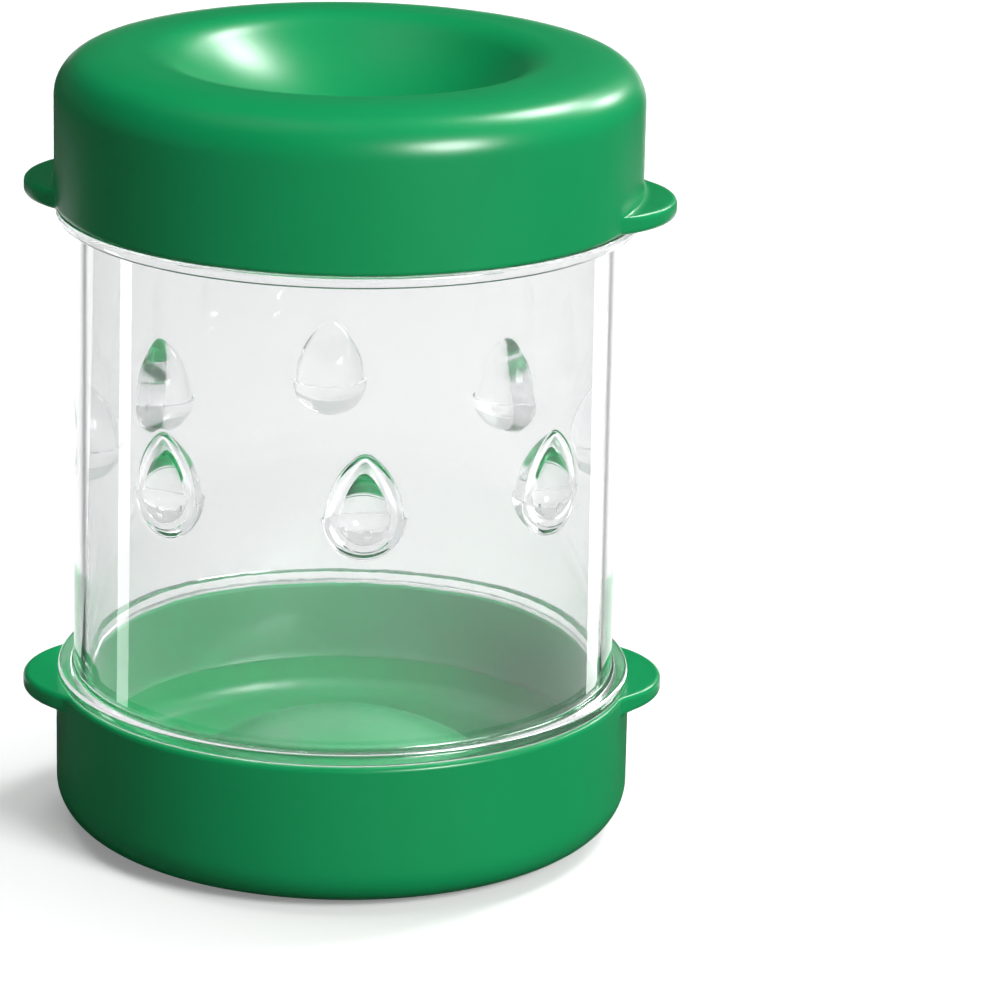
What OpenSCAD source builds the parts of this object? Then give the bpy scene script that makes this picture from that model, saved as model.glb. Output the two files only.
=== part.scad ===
// Egg peeler: a clear tube with a ring of oval, pointed knobs on its inside wall, closed at both ends
// by the same moulded pull-off cap. It is shaken by hand, and the knobs do the work.
// Millimetres, +Z up. It stands on its lower cap, and the upper cap's pull tabs lie along X.

/* [Clear body] */
// Outside diameter of the tube
tube_diameter = 70; // [60:0.5:90]
// Thickness of the tube wall
tube_wall = 1.6; // [1.2:0.1:2.4]
// Length of tube left showing between the rims of the two caps
waist_height = 62.8; // [52:0.2:90]
// Length of tube that goes into each cap
neck_length = 11; // [8:0.5:13]

/* [Stop collars] */
// How far each collar stands out from the tube
collar_reach = 2.1; // [1:0.1:3]
// Thickness of a collar
collar_thickness = 1.5; // [1.4:0.1:3]
// Rounding of a collar's edges
collar_round = 0.5; // [0.2:0.1:0.6]
// Hollow fillet between a collar and the tube that shows beside it
collar_fillet = 0.5; // [0.2:0.1:0.8]

/* [Knobs] */
// Number of knobs around the tube
knob_count = 8; // [4:1:10]
// Width of a knob at its widest level
knob_width = 10; // [6:0.1:12]
// Height of the pointed half, above the widest level
knob_point_height = 8.2; // [6.5:0.1:12]
// Radius of the rounded point
knob_tip_radius = 1.6; // [0.8:0.1:2.2]
// Ledge at the widest level, where the pointed half is set back from the round half
knob_ledge = 0.35; // [0.1:0.05:0.6]
// How far a knob's upright axis lies behind the inner wall, so that just under half of it stands out
knob_sink = 0.2; // [0.1:0.05:0.5]
// Height of the widest level above the middle of the tube
knob_level = -0.1; // [-8:0.1:8]
// Turn of the first knob from the X axis
knob_turn = 11; // [0:1:45]

/* [Caps] */
// Height of a cap from its rim to its crown
cap_height = 19.5; // [18:0.1:30]
// Thickness of a cap everywhere but the tabs
cap_wall = 2.2; // [1.6:0.1:2.6]
// Gap between a cap's skirt and the tube, measured on one side
cap_clearance = 0.1; // [0.05:0.05:0.3]
// Gap between a cap's rim and its stop collar
rim_clearance = 0.1; // [0.05:0.05:0.4]
// Radius of the corner between skirt and crown
corner_radius = 5.2; // [4:0.1:6]
// Radius of the broad curve from that corner to the top of the crown
crown_radius = 20; // [12:0.5:24]
// Slope at which the corner runs into the broad curve
crown_split = 75; // [65:1:80]
// Width of the flat ring on top of the crown, which the lower cap stands on
crown_flat = 2; // [0.5:0.1:4]
// Radius of the lip where the crown turns down into the dish
lip_radius = 7; // [4:0.1:8]
// Depth of the dish in the middle of the crown
dish_depth = 10; // [6:0.1:11]
// Rounding of the rim's outer edge
rim_round = 0.6; // [0.2:0.1:0.9]
// Chamfer on the rim's inner edge
rim_lead = 0.5; // [0.2:0.1:0.8]
// Turn of the lower cap against the upper one
lower_cap_turn = 8.5; // [-90:0.5:90]

/* [Pull tabs] */
// How far a tab stands out from the skirt
tab_reach = 4.3; // [3:0.05:8]
// Width of a tab where it leaves the skirt
tab_width = 22; // [14:0.5:30]
// Thickness of a tab
tab_thickness = 2.3; // [1.8:0.1:4]
// Rounding of a tab's edges
tab_round = 0.7; // [0.2:0.1:0.8]
// Hollow fillet between a tab's upper face and the skirt
tab_fillet = 0.9; // [0.3:0.1:1.5]

/* [Hidden] */
$fn = 96;

// How far a cutting shape runs past the face that it opens
open = 1;
// How far neighbouring shapes run into each other
run_in = 0.2;

// Hair ledge at the foot of a knob's rounded point
tip_ledge = 0.03;

// Clear body
tube_r = tube_diameter / 2;
bore_r = tube_r - tube_wall;
collar_r = tube_r + collar_reach;
lower_rim_z = cap_height;
upper_rim_z = cap_height + waist_height;
tube_bottom_z = lower_rim_z - neck_length;
tube_top_z = upper_rim_z + neck_length;
tube_middle_z = (tube_bottom_z + tube_top_z) / 2;
end_round = tube_wall / 2;

// One knob: a round half of radius knob_r below a pointed half whose flanks are arcs
knob_r = knob_width / 2;
flank_r = knob_r - knob_ledge;
tip_level = knob_point_height - knob_tip_radius;
flank_arc = (flank_r ^ 2 + tip_level ^ 2 - knob_tip_radius ^ 2) / (2 * (flank_r - knob_tip_radius));
tip_meets_flank = tip_level * (1 + knob_tip_radius / (flank_arc - knob_tip_radius));
knob_axis_r = bore_r + knob_sink;
knob_z = tube_middle_z + knob_level;

// One cap, drawn with its rim at height 0 and its crown up
skirt_bore_r = tube_r + cap_clearance;
skirt_r = skirt_bore_r + cap_wall;
corner_x = skirt_r - corner_radius;
crown_top_x = corner_x + (corner_radius - crown_radius) * cos(crown_split);
corner_y = cap_height - crown_radius + (crown_radius - corner_radius) * sin(crown_split);
crown_y = cap_height - crown_radius;
lip_x = crown_top_x - crown_flat;
lip_y = cap_height - lip_radius;
lip_and_dish = (lip_x ^ 2 + dish_depth ^ 2) / (2 * dish_depth);
dish_r = lip_and_dish - lip_radius;
dish_y = cap_height - dish_depth + dish_r;

// One tab: part of a disc whose edge crosses the skirt at the tab's width
tab_tip_r = skirt_r + tab_reach;
tab_root_x = sqrt(skirt_r ^ 2 - (tab_width / 2) ^ 2);
tab_disc_r = ((tab_tip_r - tab_root_x) ^ 2 + (tab_width / 2) ^ 2) / (2 * (tab_tip_r - tab_root_x));
tab_disc_x = tab_tip_r - tab_disc_r;

// Flat box given by two opposite corners
module between(x0, y0, x1, y1) {
    translate([x0, y0]) square([x1 - x0, y1 - y0]);
}

// Part of a disc that lies inside a flat box, which ends well clear of the disc on its open sides
module disc_between(cx, cy, r, x0, y0, x1, y1) {
    intersection() {
        translate([cx, cy]) circle(r);
        between(x0, y0, x1, y1);
    }
}

// Half outline of the tube with rounded ends
module tube_outline() {
    between(bore_r, tube_bottom_z + end_round, tube_r, tube_top_z - end_round);
    disc_between(bore_r + end_round, tube_bottom_z + end_round, end_round,
                 bore_r - open, tube_bottom_z - open, tube_r + open, tube_bottom_z + end_round);
    disc_between(bore_r + end_round, tube_top_z - end_round, end_round,
                 bore_r - open, tube_top_z - end_round, tube_r + open, tube_top_z + open);
}

// Half outline of a flat flange from x = 0 with both edges rounded
module flange_outline(reach, thickness, edge_round) {
    straight_x = reach - edge_round;
    between(0, 0, straight_x, thickness);
    between(straight_x, edge_round, reach, thickness - edge_round);
    disc_between(straight_x, edge_round, edge_round, straight_x, -open, reach + open, edge_round);
    disc_between(straight_x, thickness - edge_round, edge_round,
                 straight_x, thickness - edge_round, reach + open, thickness + open);
}

// Half outline of a fillet that fills the corner between a wall and a flange
module fillet_outline(wall_x, wall, flange_y, radius) {
    difference() {
        between(wall_x - wall / 2, flange_y - run_in, wall_x + radius, flange_y + radius);
        translate([wall_x + radius, flange_y + radius]) circle(radius);
    }
}

// Half outline of a collar with the face that stops a cap at height 0
module collar_outline() {
    intersection() {
        flange_outline(collar_r, collar_thickness, collar_round);
        between(tube_r - tube_wall / 2, -open, collar_r + open, collar_thickness + open);
    }
    fillet_outline(tube_r, tube_wall, collar_thickness, collar_fillet);
}

// Half outline of a knob about its own upright axis.
// The tip is a hair smaller than the flank that it stands on.
module knob_outline() {
    disc_between(0, 0, knob_r, 0, -knob_r - open, knob_r + open, 0);
    disc_between(flank_r - flank_arc, 0, flank_arc, 0, 0, flank_r + open, tip_meets_flank);
    disc_between(0, tip_level, knob_tip_radius - tip_ledge,
                 0, tip_meets_flank, knob_r, knob_point_height + open);
}

// A ring of knobs, trimmed to end inside the tube wall
module knob_ring() {
    intersection() {
        for (i = [0 : knob_count - 1])
            rotate(knob_turn + i * 360 / knob_count)
                translate([knob_axis_r, 0, knob_z]) rotate_extrude() knob_outline();
        translate([0, 0, tube_bottom_z + end_round])
            cylinder(r = tube_r - tube_wall / 2, h = tube_top_z - tube_bottom_z - 2 * end_round);
    }
}

module clear_body() {
    color([0.93, 0.95, 0.96, 0.35]) union() {
        rotate_extrude() tube_outline();
        translate([0, 0, lower_rim_z + rim_clearance]) rotate_extrude() collar_outline();
        translate([0, 0, upper_rim_z - rim_clearance]) mirror([0, 0, 1]) rotate_extrude() collar_outline();
        knob_ring();
    }
}

// Half outline of all that lies under the crown, set in from the cap's outside by a depth.
// The lip, the broad curve and the corner run a little way in under the shapes beside them.
module under_crown(depth, floor_y) {
    skirt_x = skirt_r - depth;
    split_x = corner_x + (corner_radius - depth) * cos(crown_split);
    dish_edge_x = lip_x * (dish_r + depth) / lip_and_dish;
    difference() {
        between(0, floor_y, dish_edge_x, cap_height);
        translate([0, dish_y]) circle(dish_r + depth);
    }
    between(dish_edge_x - open, floor_y, lip_x + run_in, lip_y + run_in);
    disc_between(lip_x, lip_y, lip_radius - depth,
                 dish_edge_x - run_in, lip_y, lip_x + run_in, cap_height + open);
    between(lip_x, floor_y, crown_top_x, cap_height - depth);
    between(crown_top_x - run_in, floor_y, split_x, corner_y + run_in);
    disc_between(crown_top_x, crown_y, crown_radius - depth,
                 crown_top_x - run_in, corner_y, split_x, cap_height + open);
    between(split_x - open, floor_y, skirt_x, corner_y);
    disc_between(corner_x, corner_y, corner_radius - depth,
                 split_x - run_in, corner_y, skirt_x + open, cap_height);
}

// Half outline of a cap's wall, with its rim rounded outside and chamfered inside
module cap_outline() {
    difference() {
        under_crown(0, 0);
        under_crown(cap_wall, -open);
        difference() {
            between(skirt_r - rim_round, -open, skirt_r + open, rim_round);
            translate([skirt_r - rim_round, rim_round]) circle(rim_round);
        }
        polygon([[skirt_bore_r - open, -open], [skirt_bore_r + rim_lead + open, -open],
                 [skirt_bore_r - open, rim_lead + open]]);
    }
}

// A tab is the part of a flat disc outside the skirt, with a fillet along its root
module pull_tab() {
    difference() {
        translate([tab_disc_x, 0, 0])
            rotate_extrude() flange_outline(tab_disc_r, tab_thickness, tab_round);
        translate([0, 0, -open]) cylinder(r = skirt_r - cap_wall / 2, h = tab_thickness + 2 * open);
    }
    intersection() {
        rotate_extrude() fillet_outline(skirt_r, cap_wall, tab_thickness, tab_fillet);
        translate([tab_disc_x, 0, 0]) cylinder(r = tab_disc_r - tab_round, h = tab_thickness + tab_fillet);
    }
}

// A cap with its rim at height 0 and its crown up
module cap() {
    union() {
        rotate_extrude() cap_outline();
        for (side = [0, 180]) rotate(side) pull_tab();
    }
}

module upper_cap() {
    color([0.02, 0.55, 0.29]) translate([0, 0, upper_rim_z]) cap();
}

module lower_cap() {
    color([0.02, 0.55, 0.29])
        translate([0, 0, lower_rim_z]) mirror([0, 0, 1]) rotate(lower_cap_turn) cap();
}

clear_body();
upper_cap();
lower_cap();
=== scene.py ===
# %% [markdown]
# # Egg peeler
# A clear tube with oval, pointed knobs on its inner wall stands between two green caps.
# The tool is shaken by hand, the knobs do the work, and either cap pulls off by its tabs.
#
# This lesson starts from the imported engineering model, which fixes where everything is.
# It then makes a finer mesh for each of the three pieces, with the small roundings that
# a moulded part has, and gives them plastic materials made only from nodes.

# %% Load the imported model
import math

import bmesh
import bpy
import numpy as np
from mathutils import Matrix, Vector


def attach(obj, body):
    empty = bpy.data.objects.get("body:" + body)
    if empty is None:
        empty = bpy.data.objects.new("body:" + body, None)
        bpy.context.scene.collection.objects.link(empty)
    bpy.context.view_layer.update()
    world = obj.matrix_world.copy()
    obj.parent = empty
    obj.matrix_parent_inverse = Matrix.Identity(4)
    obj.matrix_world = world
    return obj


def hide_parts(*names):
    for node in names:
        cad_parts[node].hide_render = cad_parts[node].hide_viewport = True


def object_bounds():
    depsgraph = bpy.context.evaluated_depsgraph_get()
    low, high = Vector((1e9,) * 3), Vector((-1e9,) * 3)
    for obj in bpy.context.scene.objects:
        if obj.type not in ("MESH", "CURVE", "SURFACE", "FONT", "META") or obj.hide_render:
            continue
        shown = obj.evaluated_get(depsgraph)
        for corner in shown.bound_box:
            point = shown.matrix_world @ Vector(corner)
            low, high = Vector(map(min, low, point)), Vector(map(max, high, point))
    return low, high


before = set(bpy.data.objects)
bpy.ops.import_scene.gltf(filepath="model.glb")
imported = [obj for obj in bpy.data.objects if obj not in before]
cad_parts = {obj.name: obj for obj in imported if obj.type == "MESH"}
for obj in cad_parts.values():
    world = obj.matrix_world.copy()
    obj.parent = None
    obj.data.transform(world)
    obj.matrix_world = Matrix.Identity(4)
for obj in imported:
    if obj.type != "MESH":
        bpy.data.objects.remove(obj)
cad_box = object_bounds()
print("model loaded, height", round((cad_box[1].z - cad_box[0].z) * 1000, 1), "mm")

# %% [markdown]
# ## Sizes
# All lengths of the pieces are in millimetres, measured from the middle of the foot.
# They are the same sizes the engineering model uses, so the finer meshes land on top of it.

# %% Sizes of the tube and the caps
MM = 0.001
TUBE_R = 35.0
TUBE_WALL = 1.6
BORE_R = TUBE_R - TUBE_WALL
CAP_HEIGHT = 19.5
CAP_GAP = 0.1
RIM_GAP = 0.1
WAIST = 62.8
NECK = 11.0
LOW_RIM = CAP_HEIGHT
HIGH_RIM = CAP_HEIGHT + WAIST
TOTAL = HIGH_RIM + CAP_HEIGHT
print("rims at", LOW_RIM, "and", HIGH_RIM, "of", TOTAL)

# %% [markdown]
# ## Tools for drawing outlines
# Turned and moulded parts are easiest to describe by their half section: a chain of straight
# runs and arcs. `arc` samples one arc, and `rounded` takes a chain of corner points and
# replaces each corner by a small tangent arc, which is what a mould maker does too. A bevel
# modifier would also round the edges, but here each radius is known and is simply drawn.

# %% Arcs and rounded corners
def arc(cx, cy, radius, start, stop, count):
    """Points on a circle from one angle to another, in degrees."""
    angles = np.radians(np.linspace(start, stop, count))
    return np.column_stack([cx + radius * np.cos(angles), cy + radius * np.sin(angles)])


def rounded(corners, radii, count):
    """A chain of corner points whose inner corners are rounded by tangent arcs."""
    corners = np.asarray(corners, float)
    chain = [corners[:1]]
    for before, here, after, radius in zip(corners, corners[1:], corners[2:], radii):
        back = (before - here) / np.linalg.norm(before - here)
        ahead = (after - here) / np.linalg.norm(after - here)
        half = math.acos(np.clip(back @ ahead, -1, 1)) / 2
        run = radius / math.tan(half)
        inward = (back + ahead) / np.linalg.norm(back + ahead)
        centre = here + inward * radius / math.sin(half)
        first = here + back * run - centre
        last = here + ahead * run - centre
        a0 = math.degrees(math.atan2(first[1], first[0]))
        cross = first[0] * last[1] - first[1] * last[0]
        turn = math.degrees(math.atan2(cross, first @ last))
        chain.append(arc(centre[0], centre[1], radius, a0, a0 + turn, count))
    chain.append(corners[-1:])
    return np.vstack(chain)


def spread(chain, count):
    """The same chain, sampled again at even steps along its length."""
    steps = np.r_[0, np.cumsum(np.linalg.norm(np.diff(chain, axis=0), axis=1))]
    at = np.linspace(0, steps[-1], count)
    return np.column_stack([np.interp(at, steps, chain[:, 0]), np.interp(at, steps, chain[:, 1])])


print("a rounded corner of 4 points:", len(rounded([(0, 0), (1, 0), (1, 1)], [0.2], 4)), "in all")

# %% [markdown]
# A mesh is a list of points and a list of faces. `grid_faces` numbers the faces between rows of
# points, and `mesh_piece` joins points that coincide and turns all faces outwards. It also counts
# the edges that don't have two faces: a closed body has none.

# %% Mesh helpers
SAME_POINT = 2e-7
NO_LENGTH = 1e-8
SHARP_EDGE = math.radians(50)


def mesh_piece(name, points, faces):
    """A closed, smooth-shaded mesh object from points in millimetres."""
    made = bmesh.new()
    spots = [made.verts.new(p) for p in np.asarray(points) * MM]
    for face in faces:
        made.faces.new([spots[i] for i in face])
    bmesh.ops.remove_doubles(made, verts=made.verts, dist=SAME_POINT)
    bmesh.ops.dissolve_degenerate(made, dist=NO_LENGTH, edges=made.edges)
    bmesh.ops.recalc_face_normals(made, faces=made.faces)
    for face in made.faces:
        face.smooth = True
    loose = sum(1 for edge in made.edges if len(edge.link_faces) != 2)
    mesh = bpy.data.meshes.new(name)
    made.to_mesh(mesh)
    made.free()
    mesh.set_sharp_from_angle(angle=SHARP_EDGE)
    piece = bpy.data.objects.new(name, mesh)
    bpy.context.scene.collection.objects.link(piece)
    print(name, "has", len(mesh.polygons), "faces and", loose, "open edges")
    return piece


def grid_faces(rows, columns, wrap=True):
    """Four-cornered faces between neighbouring rows of points."""
    faces = []
    last = columns if wrap else columns - 1
    for row in range(rows - 1):
        for column in range(last):
            a = row * columns + column
            b = row * columns + (column + 1) % columns
            faces.append((a, b, b + columns, a + columns))
    return faces


print("two rings of 6 points are joined by", len(grid_faces(2, 6)), "faces")

# %% [markdown]
# ## The caps
# Both caps come from one mould: a short skirt, a rounded shoulder, and a crown that dips
# into a shallow dish so the tool stands steadily either way up. Two opposite pull tabs grow
# out of the rim, with a small fillet where they leave the skirt.
#
# Tabs could be joined to a turned cap with a boolean, but that leaves a hard seam. Here the cap is
# drawn as a grid: each column is one half section, and only the tab's reach changes from column
# to column, so the tab melts into the rim.

# %% Sizes of a cap
CAP_WALL = 2.2
SKIRT_R = TUBE_R + CAP_GAP + CAP_WALL
SKIRT_BORE = SKIRT_R - CAP_WALL
CORNER_R = 5.2
CROWN_R = 20.0
CROWN_SPLIT = 75.0
CROWN_FLAT = 2.0
LIP_R = 7.0
DISH_DEPTH = 10.0
split = math.radians(CROWN_SPLIT)
corner_x = SKIRT_R - CORNER_R
crown_x = corner_x + (CORNER_R - CROWN_R) * math.cos(split)
crown_y = CAP_HEIGHT - CROWN_R
corner_y = crown_y + (CROWN_R - CORNER_R) * math.sin(split)
lip_x = crown_x - CROWN_FLAT
lip_y = CAP_HEIGHT - LIP_R
dish_r = (lip_x ** 2 + (DISH_DEPTH - LIP_R) ** 2 - LIP_R ** 2) / (2 * DISH_DEPTH)
dish_y = CAP_HEIGHT - DISH_DEPTH + dish_r
meet = math.degrees(math.atan2(lip_y - dish_y, lip_x))
print("corner at", round(corner_y, 2), "dish radius", round(dish_r, 2))

# %% Outside and inside of a cap's crown
OUTER_LEVELS = (10.5, 7.5)
INNER_LEVELS = (5.0, 9.0)
outside = np.vstack([
    arc(0, dish_y, dish_r, -90, meet, 16)[1:],
    arc(lip_x, lip_y, LIP_R, meet + 180, 90, 14)[1:],
    arc(crown_x, crown_y, CROWN_R, 90, CROWN_SPLIT, 7),
    arc(corner_x, corner_y, CORNER_R, CROWN_SPLIT, 0, 14)[1:],
    [(SKIRT_R, level) for level in OUTER_LEVELS],
])
inside = np.vstack([
    [(SKIRT_BORE, level) for level in INNER_LEVELS],
    arc(corner_x, corner_y, CORNER_R - CAP_WALL, 0, CROWN_SPLIT, 10),
    arc(crown_x, crown_y, CROWN_R - CAP_WALL, CROWN_SPLIT, 90, 6)[1:],
    arc(lip_x, lip_y, LIP_R - CAP_WALL, 90, meet + 180, 10),
    arc(0, dish_y, dish_r + CAP_WALL, meet, -90, 14)[1:-1],
])
print(len(outside), "points outside,", len(inside), "inside")

# %% [markdown]
# The tab is part of a disc that pokes out of the skirt. Its reach in any direction is the
# distance from the skirt to that disc, and a soft maximum lets it fade to nothing.

# %% How far the tab reaches in each direction
TAB_REACH = 4.3
TAB_WIDTH = 22.0
TAB_FADE = 0.5
tab_tip = SKIRT_R + TAB_REACH
tab_root_x = math.sqrt(SKIRT_R ** 2 - (TAB_WIDTH / 2) ** 2)
rise = tab_tip - tab_root_x
tab_disc_r = (rise ** 2 + (TAB_WIDTH / 2) ** 2) / (2 * rise)
tab_disc_x = tab_tip - tab_disc_r


def tab_reach(angle):
    """Length of the tab beyond the skirt at this angle, faded softly to zero."""
    off = (angle + math.pi / 2) % math.pi - math.pi / 2
    across = tab_disc_x * math.sin(off)
    if abs(across) >= tab_disc_r:
        return 0.0
    edge = tab_disc_x * math.cos(off) + math.sqrt(tab_disc_r ** 2 - across ** 2)
    raw = edge - SKIRT_R
    if raw > TAB_FADE:
        return raw
    return 0.0 if raw < -TAB_FADE else (raw + TAB_FADE) ** 2 / (4 * TAB_FADE)


print("tab disc of radius", round(tab_disc_r, 2), "reaches", round(tab_reach(0), 2), "mm")

# %% One half section of the rim
TAB_THICK = 2.3
TAB_ROUND = 0.7
TAB_FILLET = 0.9
RIM_ROUND = 0.6
RIM_LEAD = 0.5
LEAD_END = 1.5
LEAD_ROUNDS = (0.15, 0.2)
SKIRT_START = 4.4
RIM_POINTS = 60
ARC_POINTS = 9
LEAST_REACH = 0.05
ROUND_SHARE = 0.45
FULL_ROUND_REACH = 2


def rim_chain(reach):
    """From the skirt down round the tab and the rim to the inside of the skirt."""
    start = (SKIRT_R, SKIRT_START)
    lead = [(SKIRT_BORE + RIM_LEAD, 0), (SKIRT_BORE, RIM_LEAD), (SKIRT_BORE, LEAD_END)]
    if reach < LEAST_REACH:
        corners = [start, (SKIRT_R, 0), *lead]
        radii = [RIM_ROUND, *LEAD_ROUNDS]
    else:
        out = SKIRT_R + reach
        fillet = min(TAB_FILLET, ROUND_SHARE * reach)
        edge = min(TAB_ROUND, ROUND_SHARE * reach)
        under = RIM_ROUND + (TAB_ROUND - RIM_ROUND) * min(1, reach / FULL_ROUND_REACH)
        corners = [start, (SKIRT_R, TAB_THICK), (out, TAB_THICK), (out, 0), *lead]
        radii = [fillet, edge, under, *LEAD_ROUNDS]
    return spread(rounded(corners, radii, ARC_POINTS), RIM_POINTS)


print("rim at the tab ends at", rim_chain(TAB_REACH)[-1].round(2))

# %% All points and faces of a cap
COLUMNS = 360
cap_angles = np.arange(COLUMNS) * 2 * math.pi / COLUMNS
sections = [np.vstack([outside, rim_chain(tab_reach(a)), inside]) for a in cap_angles]
rows = np.stack(sections, axis=1)
cap_x = rows[..., 0] * np.cos(cap_angles)
cap_y = rows[..., 0] * np.sin(cap_angles)
dish_poles = [(0, 0, dish_y - dish_r), (0, 0, dish_y - dish_r - CAP_WALL)]
cap_points = np.vstack([np.stack([cap_x, cap_y, rows[..., 1]], axis=-1).reshape(-1, 3), dish_poles])
cap_faces = grid_faces(len(rows), COLUMNS)
top_pole = len(cap_points) - 2
start_of_last = (len(rows) - 1) * COLUMNS
for column in range(COLUMNS):
    after = (column + 1) % COLUMNS
    cap_faces.append((top_pole, after, column))
    cap_faces.append((top_pole + 1, start_of_last + column, start_of_last + after))
print("a cap has", len(cap_points), "points in", len(rows), "rows")

# %% [markdown]
# The lower cap is the same moulding, turned over and a little about its axis. Each mesh rides on
# its body, so that it moves with the cap, and replaces the plain solid of the engineering model.

# %% Make both caps
LOWER_TURN = math.radians(8.5)
turn = np.array([[math.cos(LOWER_TURN), math.sin(LOWER_TURN), 0],
                 [-math.sin(LOWER_TURN), math.cos(LOWER_TURN), 0],
                 [0, 0, 1]])
upside_down = (cap_points @ turn) * (1, 1, -1)
upper_cap = mesh_piece("upper_cap_shell", cap_points + (0, 0, HIGH_RIM), cap_faces)
lower_cap = mesh_piece("lower_cap_shell", upside_down + (0, 0, LOW_RIM), cap_faces)
for piece, node in ((upper_cap, "upper_cap"), (lower_cap, "lower_cap")):
    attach(piece, node)
    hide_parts(node)

# %% [markdown]
# ## The clear body
# The body is one moulding: a tube, two collars that stop the caps, two plain necks that go
# inside them, and eight solid knobs on the inner wall. Everything but the knobs is turned
# from one outline, which leaves a band of the inner wall open for the knobs to fill.

# %% The turned outline
COLLAR_REACH = 2.1
COLLAR_R = TUBE_R + COLLAR_REACH
COLLAR_THICK = 1.5
COLLAR_ROUND = 0.5
END_ROUND = 0.75
NECK_ROUND = 0.2
CORNER_POINTS = 8
BELOW_MIDDLE = 0.1
ZONE_DOWN = 12.0
ZONE_UP = 15.0
KNOB_Z = TOTAL / 2 - BELOW_MIDDLE
ZONE_LOW = KNOB_Z - ZONE_DOWN
ZONE_HIGH = KNOB_Z + ZONE_UP
tube_top = HIGH_RIM + NECK
tube_low = LOW_RIM - NECK
stop_high = HIGH_RIM - RIM_GAP
stop_low = LOW_RIM + RIM_GAP
ends = [END_ROUND, END_ROUND]
outline = rounded([
    (BORE_R, ZONE_HIGH),
    (BORE_R, tube_top), (TUBE_R, tube_top),
    (TUBE_R, stop_high), (COLLAR_R, stop_high),
    (COLLAR_R, stop_high - COLLAR_THICK), (TUBE_R, stop_high - COLLAR_THICK),
    (TUBE_R, stop_low + COLLAR_THICK), (COLLAR_R, stop_low + COLLAR_THICK),
    (COLLAR_R, stop_low), (TUBE_R, stop_low),
    (TUBE_R, tube_low), (BORE_R, tube_low),
    (BORE_R, ZONE_LOW),
], [*ends, NECK_ROUND, *[COLLAR_ROUND] * 6, NECK_ROUND, *ends], CORNER_POINTS)
print(len(outline), "points in the turned outline")

# %% [markdown]
# ## The knobs
# Each knob is an upright oval standing half out of the wall, round below and pointed above,
# with a small ledge where the two halves meet. A boolean could join ovals to the tube, but its
# ragged edge would show in clear plastic. So the wall round a knob is one eighth of the tube,
# unrolled, and rings of points shrink from that border down to the foot of the knob, round a
# small fillet, and up over the oval. Eight copies fit edge to edge.

# %% Shape of a knob
KNOBS = 8
CELL = math.pi / KNOBS
KNOB_TURN = math.radians(11.0)
KNOB_R = 5.0
LEDGE = 0.35
TIP_R = 1.6
POINT = 8.2
KNOB_SINK = 0.2
KNOB_AXIS = BORE_R + KNOB_SINK
flank_top = KNOB_R - LEDGE
tip_level = POINT - TIP_R
flank_arc = (flank_top ** 2 + tip_level ** 2 - TIP_R ** 2) / (2 * (flank_top - TIP_R))
tip_meets = tip_level * flank_arc / (flank_arc - TIP_R)


def knob_radius(z):
    """Radius of the oval at a height above its widest level."""
    if z < 0:
        return math.sqrt(max(0.0, KNOB_R ** 2 - z ** 2))
    if z < tip_meets:
        return flank_top - flank_arc + math.sqrt(flank_arc ** 2 - z ** 2)
    return math.sqrt(max(0.0, TIP_R ** 2 - (z - tip_level) ** 2))


print("flank arc", round(flank_arc, 2), "tip starts at", round(tip_meets, 2))

# %% [markdown]
# A ray from the oval's middle leaves it somewhere, and there is no neat formula for where. Halving
# finds it: the surface lies between two values, and each step keeps the half that holds it.

# %% Points on the oval, seen from its middle
HALVINGS = 40
RAY_RANGE = (0.5, 9.0)
TILT_RANGE = (-0.3, 1.2)


def halve(low, high, still_low):
    """The value between two others at which still_low stops being true."""
    for _ in range(HALVINGS):
        middle = (low + high) / 2
        low, high = (middle, high) if still_low(middle) else (low, middle)
    return low


def on_knob(side, tilt):
    """Where a ray from the middle leaves the oval: along the wall, up, and out of the wall."""
    along = math.cos(tilt) * math.cos(side)
    up = math.cos(tilt) * math.sin(side)
    out = math.sin(tilt)
    wide = math.hypot(along, out)
    far = halve(*RAY_RANGE, lambda r: wide * r < knob_radius(up * r))
    return np.array([along * far, up * far, out * far])


def wall_gap(point):
    """How far a point stands in from the inner wall."""
    return BORE_R - math.hypot(KNOB_AXIS - point[2], point[0])


def tilt_at(side, gap):
    """Tilt of the ray that leaves the oval at this distance from the wall."""
    return halve(*TILT_RANGE, lambda tilt: wall_gap(on_knob(side, tilt)) < gap)


print("a knob stands out", round(wall_gap(on_knob(0, math.pi / 2)), 2), "mm")

# %% [markdown]
# The border of one eighth of the wall is walked once round, starting at the level of the ledge. Two
# border points lie close above and below that level, which keeps the ledge a crisp step. From each
# border point a spoke of points runs to the top of the knob, and faces join neighbouring spokes.

# %% Border of the wall round a knob
ACROSS_POINTS = 33
UP_POINTS = 18
DOWN_POINTS = 15
LEDGE_SLIT = 0.09
across = np.linspace(-CELL, CELL, ACROSS_POINTS) * BORE_R
rise_up = np.linspace(LEDGE_SLIT, ZONE_HIGH - KNOB_Z, UP_POINTS)
rise_down = np.linspace(ZONE_LOW - KNOB_Z, -LEDGE_SLIT, DOWN_POINTS)
edge_along = across[-1]
border = [(edge_along, z) for z in rise_up]
border += [(s, rise_up[-1]) for s in across[-2::-1]]
border += [(-edge_along, z) for z in rise_up[-2::-1]]
border += [(-edge_along, z) for z in rise_down[::-1]]
border += [(s, rise_down[0]) for s in across[1:]]
border += [(edge_along, z) for z in rise_down[1:]]
print("border of", len(border), "points")

# %% Spokes from the border to the top of a knob
FILLET = 0.5
WALL_RINGS = 11
WALL_CROWDING = 1.4
FILLET_RINGS = 7
KNOB_RINGS = 17


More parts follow.
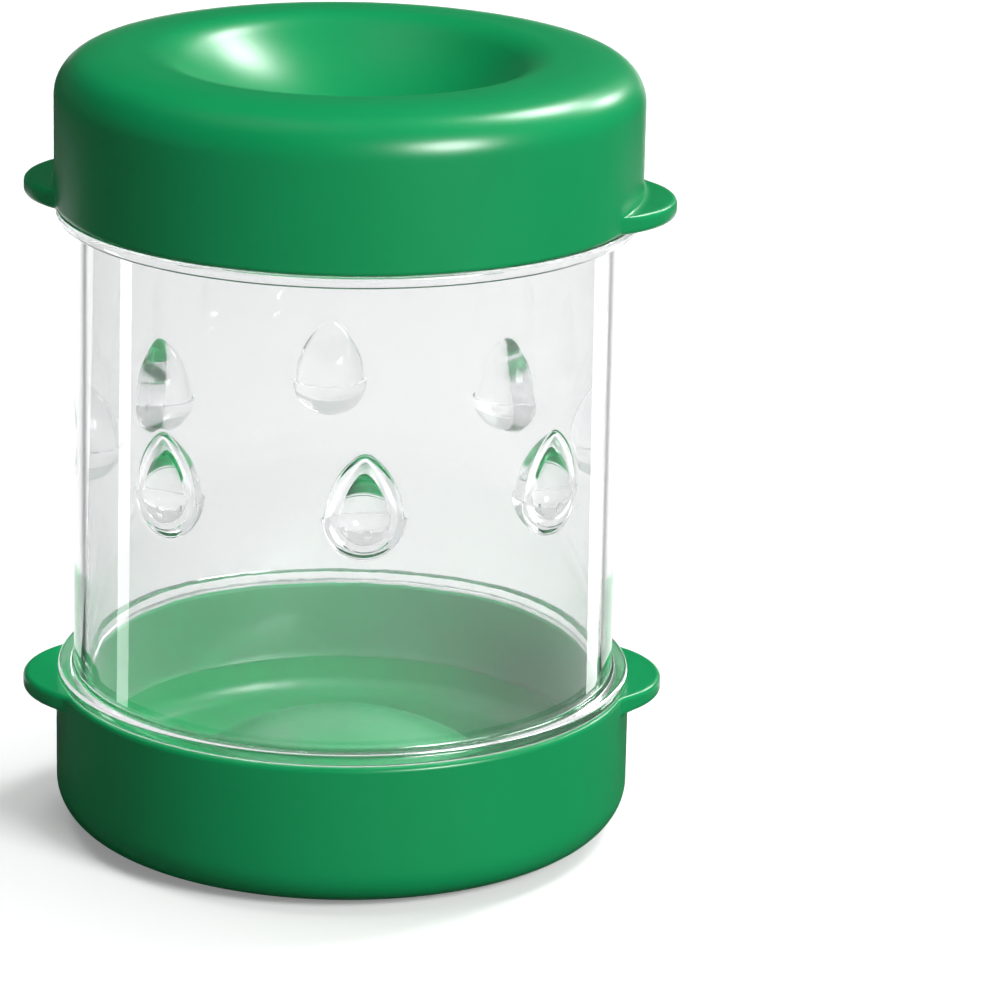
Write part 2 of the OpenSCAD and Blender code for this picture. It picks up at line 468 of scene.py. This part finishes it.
def wall_point(along, up):
    """A point on the inner wall, given along the unrolled wall, in the knob's own axes."""
    angle = along / BORE_R
    return np.array([BORE_R * math.sin(angle), up, KNOB_AXIS - BORE_R * math.cos(angle)])


def knob_spoke(s, z):
    """Points from one place on the border along the wall, round the fillet and up the oval."""
    side = math.atan2(z, s)
    foot = on_knob(side, tilt_at(side, 0.0))
    top_tilt = tilt_at(side, FILLET)
    foot_along = math.asin(foot[0] / BORE_R) * BORE_R
    far = math.hypot(foot_along, foot[1])
    grow = (far + FILLET) / far
    ring_along, ring_up = foot_along * grow, foot[1] * grow
    spoke = []
    for t in np.linspace(1, 0, WALL_RINGS) ** WALL_CROWDING:
        spoke.append(wall_point(ring_along + (s - ring_along) * t, ring_up + (z - ring_up) * t))
    start, stop = spoke[-1], on_knob(side, top_tilt)
    for t in np.linspace(0, 1, FILLET_RINGS)[1:]:
        spoke.append((1 - t) ** 2 * start + 2 * t * (1 - t) * foot + t ** 2 * stop)
    for tilt in np.linspace(top_tilt, math.pi / 2, KNOB_RINGS)[1:-1]:
        spoke.append(on_knob(side, tilt))
    return spoke


knob_cell = np.array([knob_spoke(s, z) for s, z in border])
print("one knob cell:", knob_cell.shape[0], "spokes of", knob_cell.shape[1], "points")

# %% Faces of one knob cell
POLE_SHIFT = 1e-3
count, depth = knob_cell.shape[:2]
lower_pole, upper_pole = count * depth, count * depth + 1
knob_poles = [(0, -POLE_SHIFT, KNOB_R), (0, POLE_SHIFT, flank_top)]
cell_points = np.vstack([knob_cell.reshape(-1, 3), knob_poles])
cell_faces = []
for spoke in range(count):
    ahead = (spoke + 1) % count
    for ring in range(depth - 1):
        a, b = spoke * depth + ring, ahead * depth + ring
        cell_faces.append((a, b, b + 1, a + 1))
    here_up = border[spoke][1] > 0
    ahead_up = border[ahead][1] > 0
    a, b = spoke * depth + depth - 1, ahead * depth + depth - 1
    if here_up == ahead_up:
        cell_faces.append((a, b, upper_pole if here_up else lower_pole))
    else:
        poles = (lower_pole, upper_pole) if here_up else (upper_pole, lower_pole)
        cell_faces.append((a, b, *poles))
print(len(cell_faces), "faces in one knob cell")

# %% [markdown]
# The outline is swept round in as many columns as the eight cells have points across, so the turned
# part and the knobs meet point to point, and joining coinciding points makes one closed body.

# %% Join the turned part and eight knob cells
TUBE_COLUMNS = KNOBS * (ACROSS_POINTS - 1)
angles = KNOB_TURN - CELL + np.arange(TUBE_COLUMNS) * 2 * math.pi / TUBE_COLUMNS
turned_rows = [np.column_stack([r * np.cos(angles), r * np.sin(angles), np.full_like(angles, z)])
               for r, z in outline]
body_points = [np.vstack(turned_rows)]
body_faces = grid_faces(len(outline), TUBE_COLUMNS)
filled = len(body_points[0])
for knob in range(KNOBS):
    turned = KNOB_TURN + knob * 2 * CELL
    radial = KNOB_AXIS - cell_points[:, 2]
    x = radial * math.cos(turned) - cell_points[:, 0] * math.sin(turned)
    y = radial * math.sin(turned) + cell_points[:, 0] * math.cos(turned)
    body_points.append(np.column_stack([x, y, KNOB_Z + cell_points[:, 1]]))
    body_faces += [tuple(i + filled for i in face) for face in cell_faces]
    filled += len(cell_points)
clear_body = mesh_piece("clear_tube", np.vstack(body_points), body_faces)
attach(clear_body, "clear_body")
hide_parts("clear_body")

# %% [markdown]
# ## Nodes in few lines
# A material is a tree of nodes. Adding a node from code takes three moves: make it, set its plain
# values, and link the outputs of other nodes to it. `add_node` does all three, and the others are
# short forms of it for the kinds of node that are used most here.

# %% Add a node
def feed(tree, socket, value):
    """Link another node's output to a socket, or set the socket to a plain value."""
    if isinstance(value, bpy.types.NodeSocket):
        tree.links.new(value, socket)
    else:
        socket.default_value = value


def add_node(tree, kind, inputs=None, **settings):
    """A new node with its settings made and its inputs linked or set."""
    node = tree.nodes.new(kind)
    for name, value in settings.items():
        setattr(node, name, value)
    for key, value in (inputs or {}).items():
        feed(tree, node.inputs[key], value)
    return node


print("add_node ready")


# %% Short forms for the commonest nodes
def calc(tree, operation, *values):
    """The result of a Math node."""
    inputs = dict(enumerate(values))
    return add_node(tree, "ShaderNodeMath", inputs, operation=operation).outputs[0]


def calc_vector(tree, operation, output, *values):
    """A result of a Vector Math node."""
    inputs = dict(enumerate(values))
    return add_node(tree, "ShaderNodeVectorMath", inputs, operation=operation).outputs[output]


def mix_colour(tree, share, first, second):
    """A colour between two others."""
    inputs = {0: share, 6: first, 7: second}
    return add_node(tree, "ShaderNodeMix", inputs, data_type="RGBA").outputs[2]


def change_range(tree, value, source, target, way="LINEAR"):
    """A value moved from one range to another."""
    inputs = {"Value": value, "From Min": source[0], "From Max": source[1],
              "To Min": target[0], "To Max": target[1]}
    return add_node(tree, "ShaderNodeMapRange", inputs, interpolation_type=way).outputs[0]


print("short forms for maths, vectors, colours and ranges ready")

# %% [markdown]
# ## Moulded plastic
# A polished mould still leaves a faint unevenness, and hands leave faint smears. Painted maps
# could hold both, but noise nodes need no image and no unwrapping. Both plastics share one node
# group that gives a roughness that wanders a little and a very low bump height.

# %% Shared node group for moulded surfaces
RIPPLE_SCALE = 260.0
SMEAR_SCALE = 60.0
skin = bpy.data.node_groups.new("moulded_skin", "ShaderNodeTree")
for name in ("Roughness", "Smear"):
    skin.interface.new_socket(name, in_out="INPUT", socket_type="NodeSocketFloat")
for name in ("Roughness", "Height"):
    skin.interface.new_socket(name, in_out="OUTPUT", socket_type="NodeSocketFloat")
skin_in = add_node(skin, "NodeGroupInput")
place = add_node(skin, "ShaderNodeTexCoord").outputs["Object"]
ripple = add_node(skin, "ShaderNodeTexNoise", {"Vector": place, "Scale": RIPPLE_SCALE, "Detail": 3.0})
smear = add_node(skin, "ShaderNodeTexNoise", {"Vector": place, "Scale": SMEAR_SCALE, "Detail": 5.0,
                                              "Distortion": 0.6})
wander = calc(skin, "SUBTRACT", smear.outputs[0], 0.5)
amount = calc(skin, "MULTIPLY_ADD", wander, skin_in.outputs["Smear"], skin_in.outputs["Roughness"])
add_node(skin, "NodeGroupOutput", {"Roughness": amount, "Height": ripple.outputs[0]})
print("node group", skin.name, "with", len(skin.nodes), "nodes")

# %% Start of a plastic material
BUMP_HEIGHT = 0.0002


def plastic(name, roughness, smear_amount, bump_strength):
    """A material with a Principled shader and the moulded skin wired to it."""
    material = bpy.data.materials.new(name)
    material.use_nodes = True
    tree = material.node_tree
    shader = tree.nodes["Principled BSDF"]
    group = add_node(tree, "ShaderNodeGroup", {"Roughness": roughness, "Smear": smear_amount},
                     node_tree=skin)
    bump = add_node(tree, "ShaderNodeBump", {"Strength": bump_strength, "Distance": BUMP_HEIGHT,
                                             "Height": group.outputs["Height"]})
    feed(tree, shader.inputs["Roughness"], group.outputs["Roughness"])
    feed(tree, shader.inputs["Normal"], bump.outputs["Normal"])
    print("material", name)
    return material, tree, shader


print("moulded skin up to", BUMP_HEIGHT * 1000, "mm deep")

# %% [markdown]
# ## Green cap plastic
# The caps are an opaque leaf green with a soft gloss. One flat colour would look like paint, so the
# colour is mottled very slightly, as pigment is in a moulding.

# %% Green plastic
GREEN_DARK = (0.0010, 0.262, 0.078, 1.0)
GREEN_LIGHT = (0.0015, 0.288, 0.090, 1.0)
green, tree, shader = plastic("cap_green", roughness=0.30, smear_amount=0.04, bump_strength=0.08)
cap_place = add_node(tree, "ShaderNodeTexCoord").outputs["Object"]
mottle = add_node(tree, "ShaderNodeTexNoise", {"Vector": cap_place, "Scale": 90.0, "Detail": 4.0})
feed(tree, shader.inputs["Base Color"], mix_colour(tree, mottle.outputs[0], GREEN_DARK, GREEN_LIGHT))
shader.inputs["Specular IOR Level"].default_value = 0.6
for piece in (upper_cap, lower_cap):
    piece.data.materials.append(green)
print("green on both caps")

# %% [markdown]
# ## Clear body plastic
# The tube is clear, colourless styrene. Light that meets the surface at a low angle travels a long
# way through the wall, so outlines look greyer. Volume Absorption could show that, but would grey
# every long way alike. Here that shade is painted instead: Layer Weight sets a painted grey tint by
# angle, so it can differ from part to part. The upright wall gets a painted dark line just inside
# its outline, which stands in for darker surroundings seen through the edge. Collars and knobs get
# only a faint painted grey.

# %% Clear plastic
CLEAR = 0.84
# Painted shade: on the wall the tint drops to near black in a narrow band of grazing angles, elsewhere
# only to a faint grey.
WALL_PAINTED_SHADE_STOPS = [(0.0, CLEAR), (1.0, CLEAR), (0.69, CLEAR), (0.72, 0.03), (0.745, 0.06), (0.775, 0.50),
              (0.81, CLEAR)]
SOFT_PAINTED_SHADE_STOPS = [(0.45, CLEAR), (0.95, 0.78)]
COOL = (0.995, 1.0, 1.003)
clear, tree, shader = plastic("clear_styrene", roughness=0.02, smear_amount=0.02, bump_strength=0.03)
shader.inputs["Transmission Weight"].default_value = 0.97
shader.inputs["IOR"].default_value = 1.55
facing = add_node(tree, "ShaderNodeLayerWeight", {"Blend": 0.5}).outputs["Facing"]


def grey_ramp(tree, value, stops):
    """A ramp of near-neutral greys from (position, brightness) pairs."""
    ramp = add_node(tree, "ShaderNodeValToRGB", {0: value})
    elements = ramp.color_ramp.elements
    for index, (position, grey) in enumerate(stops):
        stop = elements[index] if index < 2 else elements.new(position)
        stop.position = position
        stop.color = (*(grey * share for share in COOL), 1.0)
    return ramp.outputs[0]


wall_painted_shade = grey_ramp(tree, facing, WALL_PAINTED_SHADE_STOPS)
soft_painted_shade = grey_ramp(tree, facing, SOFT_PAINTED_SHADE_STOPS)
print("edge ramps of", len(WALL_PAINTED_SHADE_STOPS), "and", len(SOFT_PAINTED_SHADE_STOPS), "stops")

# %% The upright wall gets its own painted dark edge line
WALL_TOLERANCE = 0.0003
tube_place = add_node(tree, "ShaderNodeTexCoord").outputs["Object"]
level = calc_vector(tree, "MULTIPLY", "Vector", tube_place, (1, 1, 0))
radius = calc_vector(tree, "LENGTH", "Value", level)
on_wall = calc(tree, "COMPARE", radius, TUBE_R * MM, WALL_TOLERANCE)
# The painted edge shade becomes the glass's base colour: the dark line on the wall, a faint grey on the
# other parts.
feed(tree, shader.inputs["Base Color"], mix_colour(tree, on_wall, soft_painted_shade, wall_painted_shade))
print("wall told apart at radius", TUBE_R, "mm")

# %% [markdown]
# Lamps have to shine through the tube, so shadow rays pass it with only a slight loss. A ray that
# was mirrored twice goes straight on: a perfect wall would trap it for ever, a real one lets it out.
# A Refraction shader with an index of 1 does that, because it doesn't bend the ray.

# %% Rays that pass the clear plastic
PASSED = (0.93, 0.94, 0.94, 1.0)
MIRRORED_TWICE = 1.5
ray = add_node(tree, "ShaderNodeLightPath")
straight = add_node(tree, "ShaderNodeBsdfRefraction", {"Color": PASSED, "Roughness": 0.0, "IOR": 1.0})
thin = add_node(tree, "ShaderNodeBsdfTransparent", {"Color": PASSED})
trapped = calc(tree, "GREATER_THAN", ray.outputs["Glossy Depth"], MIRRORED_TWICE)
let_out = add_node(tree, "ShaderNodeMixShader", {0: trapped, 1: shader.outputs[0], 2: straight.outputs[0]})
pass_light = add_node(tree, "ShaderNodeMixShader", {0: ray.outputs["Is Shadow Ray"],
                                                    1: let_out.outputs[0], 2: thin.outputs[0]})
feed(tree, tree.nodes["Material Output"].inputs["Surface"], pass_light.outputs[0])
clear_body.data.materials.append(clear)
print("clear plastic on the tube,", len(tree.nodes), "nodes")

# %% [markdown]
# ## Floor, lamps and camera
# The tool stands on a white table that runs on beyond the picture. The camera, and anything
# mirrored in or seen through the plastic, sees the table as white, while the lamps still draw
# a soft shadow on it. Light Path tells these rays apart. Far from the lamps the table gives a
# little light itself, to stay white.

# %% White table paper
TABLE_DULL = (0.30, 0.30, 0.30, 1.0)
TABLE_WHITE = (0.80, 0.80, 0.80, 1.0)
NEAR_AND_FAR = (0.6, 2.0)
GLOW_NEAR_AND_FAR = (0.22, 1.0)
paper = bpy.data.materials.new("white_table")
paper.use_nodes = True
tree = paper.node_tree
tree.nodes.clear()
path = add_node(tree, "ShaderNodeLightPath")
seen = calc(tree, "MAXIMUM", path.outputs["Is Camera Ray"], path.outputs["Is Glossy Ray"])
seen = calc(tree, "MAXIMUM", seen, path.outputs["Is Transmission Ray"])
table_place = add_node(tree, "ShaderNodeTexCoord").outputs["Object"]
away = calc_vector(tree, "LENGTH", "Value", table_place)
glow = calc(tree, "MULTIPLY", seen, change_range(tree, away, NEAR_AND_FAR, GLOW_NEAR_AND_FAR))
matt = add_node(tree, "ShaderNodeBsdfDiffuse", {"Color": mix_colour(tree, seen, TABLE_DULL, TABLE_WHITE)})
light = add_node(tree, "ShaderNodeEmission", {"Strength": glow})
both = add_node(tree, "ShaderNodeAddShader", {0: matt.outputs[0], 1: light.outputs[0]})
add_node(tree, "ShaderNodeOutputMaterial", {"Surface": both.outputs[0]})
print("material", paper.name, "with", len(tree.nodes), "nodes")

# %% White table
TABLE_HALF = 6.0
TABLE_DROP = 0.00005


def stage_mesh(name, points, faces, material):
    """A mesh object for the set round the tool, in metres."""
    mesh = bpy.data.meshes.new(name)
    mesh.from_pydata(points, [], faces)
    mesh.materials.append(material)
    thing = bpy.data.objects.new(name, mesh)
    bpy.context.scene.collection.objects.link(thing)
    return thing


corners = [(x * TABLE_HALF, y * TABLE_HALF, 0) for x, y in ((-1, -1), (1, -1), (1, 1), (-1, 1))]
table = stage_mesh("table", corners, [(0, 1, 2, 3)], paper)
table.location.z = cad_box[0].z - TABLE_DROP
print("table at", round(table.location.z * 1000, 3), "mm")

# %% [markdown]
# In a studio, black cards keep a glossy part's colour deep: the part mirrors the card and not
# the white table. Only mirror rays see this card. A window is cut in it behind the tool, where
# the outlines of the tube mirror the table, so that those stay bright. The upper cap mirrors
# places farther out, where a narrow gap gives its outline a thin pale rim.

# %% Black card with a window
CARD_RINGS = (0.02, 0.072, 0.325, 8.0)
WINDOWS = (0, math.radians(55), math.radians(18))
CARD_COLUMNS = 72
CARD_LIFT = 0.00003


def only_in_mirrors(thing):
    """Hide an object from all rays but those that a glossy surface sends out."""
    thing.visible_camera = False
    thing.visible_diffuse = False
    thing.visible_transmission = False
    thing.visible_shadow = False


card_angles = np.linspace(0, 2 * math.pi, CARD_COLUMNS, endpoint=False)
card_points = [(r * math.cos(a), r * math.sin(a), 0) for r in CARD_RINGS for a in card_angles]
card_faces = []
for index, face in enumerate(grid_faces(len(CARD_RINGS), CARD_COLUMNS)):
    from_back = card_angles[index % CARD_COLUMNS] - math.pi / 2
    if abs(from_back) >= WINDOWS[index // CARD_COLUMNS]:
        card_faces.append(face)
black = bpy.data.materials.new("black_card")
black.use_nodes = True
black_shader = black.node_tree.nodes["Principled BSDF"]
black_shader.inputs["Base Color"].default_value = (0.03, 0.03, 0.03, 1)
black_shader.inputs["Roughness"].default_value = 0.9
card = stage_mesh("black_card", card_points, card_faces, black)
card.location.z = table.location.z + CARD_LIFT
only_in_mirrors(card)
print("card of", len(card_faces), "faces")

# %% [markdown]
# The surroundings are white for the camera and through the plastic. They light the tool only
# faintly, so that the lamps can shape it, and mirror rays find them dim, a little lighter low down.

# %% Surroundings
AMBIENT = 0.15
DIM_HEIGHTS = (0.05, 0.40)
DIM_LIGHT = (0.08, 0.02)
world = bpy.data.worlds.new("studio")
world.use_nodes = True
bpy.context.scene.world = world
tree = world.node_tree
sky = tree.nodes["Background"]
sky.inputs["Color"].default_value = (1, 1, 1, 1)
path = add_node(tree, "ShaderNodeLightPath")
mirrored = path.outputs["Is Glossy Ray"]
direction = add_node(tree, "ShaderNodeTexCoord").outputs["Generated"]
height = add_node(tree, "ShaderNodeSeparateXYZ", {0: direction}).outputs["Z"]
dim = change_range(tree, height, DIM_HEIGHTS, DIM_LIGHT)
strength = calc(tree, "MULTIPLY", mirrored, dim)
strength = calc(tree, "MAXIMUM", strength, calc(tree, "MULTIPLY_ADD", mirrored, -AMBIENT, AMBIENT))
strength = calc(tree, "MAXIMUM", strength, path.outputs["Is Camera Ray"])
strength = calc(tree, "MAXIMUM", strength, path.outputs["Is Transmission Ray"])
feed(tree, sky.inputs["Strength"], strength)
print("surroundings with", len(tree.nodes), "nodes")

# %% [markdown]
# Colours are shown as they are written, with the Standard view. Light needs more bounces than
# usual here, because a ray meets many clear surfaces on its way through the tube.

# %% View and bounces
bpy.context.scene.view_settings.view_transform = "Standard"
bpy.context.scene.cycles.max_bounces = 24
bpy.context.scene.cycles.transmission_bounces = 24
bpy.context.scene.cycles.glossy_bounces = 12
print("view", bpy.context.scene.view_settings.view_transform)

# %% [markdown]
# The highlights on the caps tell where the lamps stood. A wide soft box in front to the right
# gives the one on the shoulder, and a high one behind to the right the one in the dish. A small low
# one behind brightens the right end of the shoulder. A large one high on the left only fills the
# shadows, so mirror rays don't see it. A plain area lamp has hard edges, and a highlight shows
# them, so each face fades from its middle.

# %% A lamp face that fades towards its edges
FADE_ZONE = (0.15, 0.5)
FADE_GAIN = (1.54, 0.0)


def fade_edges(data):
    """Bright in the middle of an area lamp, nothing at its edge, the same light in all."""
    data.use_nodes = True
    tree = data.node_tree
    spot = add_node(tree, "ShaderNodeNewGeometry").outputs["Parametric"]
    offset = calc_vector(tree, "SUBTRACT", "Vector", spot, (0.5, 0.5, 0))
    from_middle = calc_vector(tree, "ABSOLUTE", "Vector", offset)
    sides = add_node(tree, "ShaderNodeSeparateXYZ", {0: from_middle}).outputs
    fades = [change_range(tree, sides[i], FADE_ZONE, FADE_GAIN, "SMOOTHSTEP") for i in (0, 1)]
    feed(tree, tree.nodes["Emission"].inputs["Strength"], calc(tree, "MULTIPLY", *fades))


print("lamp faces fade from", FADE_ZONE[0], "to", FADE_ZONE[1], "of their width from the middle")

# %% Lamps
VIEW_TURN = 7.0
LAMP_DISTANCE = 1.6
LAMP_AIM = Vector((0, 0, 0.055))


def soft_box(name, turn, lift, wide, tall, power):
    """An area lamp aimed at the middle of the tool, turned from the camera's side in degrees."""
    a, e = math.radians(VIEW_TURN + turn), math.radians(lift)
    toward = Vector((math.sin(a) * math.cos(e), -math.cos(a) * math.cos(e), math.sin(e)))
    data = bpy.data.lights.new(name, "AREA")
    data.shape = "RECTANGLE"
    data.size, data.size_y = wide, tall
    data.energy = power
    fade_edges(data)
    lamp = bpy.data.objects.new(name, data)
    bpy.context.scene.collection.objects.link(lamp)
    lamp.location = LAMP_AIM + toward * LAMP_DISTANCE
    lamp.rotation_euler = toward.to_track_quat("Z", "Y").to_euler()
    print(name, "at", [round(v, 2) for v in lamp.location])
    return lamp


soft_box("key", turn=41, lift=29, wide=0.84, tall=0.80, power=26.0)
soft_box("back", turn=134, lift=48, wide=0.60, tall=0.60, power=13.5)
soft_box("low_back", turn=136, lift=27, wide=0.36, tall=0.40, power=5.5)
fill = soft_box("fill", turn=-105, lift=76, wide=1.1, tall=1.1, power=8.5)
fill.visible_glossy = False

# %% [markdown]
# The camera was matched to the picture's rims and outlines: a long lens, well back, looking
# down a little. It turns slightly away from the tool so that the tool sits left of the middle.

# %% Where the camera stands and looks
AWAY = 0.63836
TARGET = Vector((0, 0, 0.0512))
LOOK_DOWN = math.radians(16.7586)
AIM_RIGHT = math.radians(1.7888)
AIM_UP = math.radians(-0.7411)
ROLL = math.radians(0.7886)


def swing(one, other, angle):
    """Turn two square directions by an angle in their own plane."""
    return (math.cos(angle) * one + math.sin(angle) * other,
            math.cos(angle) * other - math.sin(angle) * one)


view = math.radians(VIEW_TURN)
ahead = Vector((-math.sin(view) * math.cos(LOOK_DOWN), math.cos(view) * math.cos(LOOK_DOWN),
                -math.sin(LOOK_DOWN)))
eye = TARGET - ahead * AWAY
right = Vector((math.cos(view), math.sin(view), 0))
up = right.cross(ahead)
ahead, right = swing(ahead, right, AIM_RIGHT)
ahead, up = swing(ahead, up, AIM_UP)
right, up = swing(right, up, ROLL)
print("the camera looks along", [round(v, 3) for v in ahead])

# %% Camera
FOCAL_PX = 4957.2
PICTURE_WIDTH = 1000
SENSOR = 36.0
lens = bpy.data.cameras.new("camera")
lens.sensor_fit = "HORIZONTAL"
lens.sensor_width = SENSOR
lens.lens = FOCAL_PX * SENSOR / PICTURE_WIDTH
lens.clip_start = 0.01
camera = bpy.data.objects.new("camera", lens)
bpy.context.scene.collection.objects.link(camera)
axes = Matrix((right, up, -ahead)).transposed().to_4x4()
axes.translation = eye
camera.matrix_world = axes
bpy.context.scene.camera = camera
print("camera at", [round(v, 3) for v in eye], "lens", round(lens.lens, 1), "mm")

# %% [markdown]
# ## White bands on the tube
# A clean white band runs down the tube near each side. A camera that looks down sees the table
# mirrored in an upright wall, so each band needs a bright strip lying on the table. The line of
# sight, mirrored in the wall, tells where: `mirror_spot` follows it down to the table.
# Light linking keeps the strips' light off the caps.

# %% Where the wall mirrors the table
def mirror_spot(turn_deg, height):
    """The spot on the table that the camera sees mirrored in the tube's outer wall."""
    a = math.radians(VIEW_TURN + turn_deg)
    normal = Vector((math.sin(a), -math.cos(a), 0))
    wall = normal * TUBE_R * MM + Vector((0, 0, height * MM))
    sight = (wall - eye).normalized()
    onward = sight - 2 * sight.dot(normal) * normal
    return wall + onward * (wall.z - table.location.z) / -onward.z


print("half way up, the left wall mirrors", [round(v, 3) for v in mirror_spot(-50, TOTAL / 2)])

# %% Two bright strips
BANDS = (("left_strip", -53.8, -49.8), ("right_strip", 61.6, 67.5))
STRIP_STEPS = 12
STRIP_LIFT = 0.00006
RIM_MARGIN = 2
# The strips glow and only mirror rays see them. They are placed from the camera's eye, so the white bands
# are painted reflections set for this view.
strip_paper = bpy.data.materials.new("bright_strip")
strip_paper.use_nodes = True
bright = strip_paper.node_tree.nodes["Principled BSDF"]
bright.inputs["Base Color"].default_value = (0, 0, 0, 1)
bright.inputs["Emission Color"].default_value = (1, 1, 1, 1)
bright.inputs["Emission Strength"].default_value = 3.6
tube_only = bpy.data.collections.new("lit_by_strips")
tube_only.objects.link(clear_body)
for name, first_turn, last_turn in BANDS:
    heights = np.linspace(LOW_RIM + RIM_MARGIN, HIGH_RIM - RIM_MARGIN, STRIP_STEPS)
    spots = [mirror_spot(turn_deg, z) for z in heights for turn_deg in (first_turn, last_turn)]
    strip = stage_mesh(name, spots, grid_faces(STRIP_STEPS, 2, wrap=False), strip_paper)
    strip.location.z = STRIP_LIFT
    only_in_mirrors(strip)
    strip.light_linking.receiver_collection = tube_only
    print(name, "from", [round(v, 3) for v in spots[0]], "to", [round(v, 3) for v in spots[-1]])
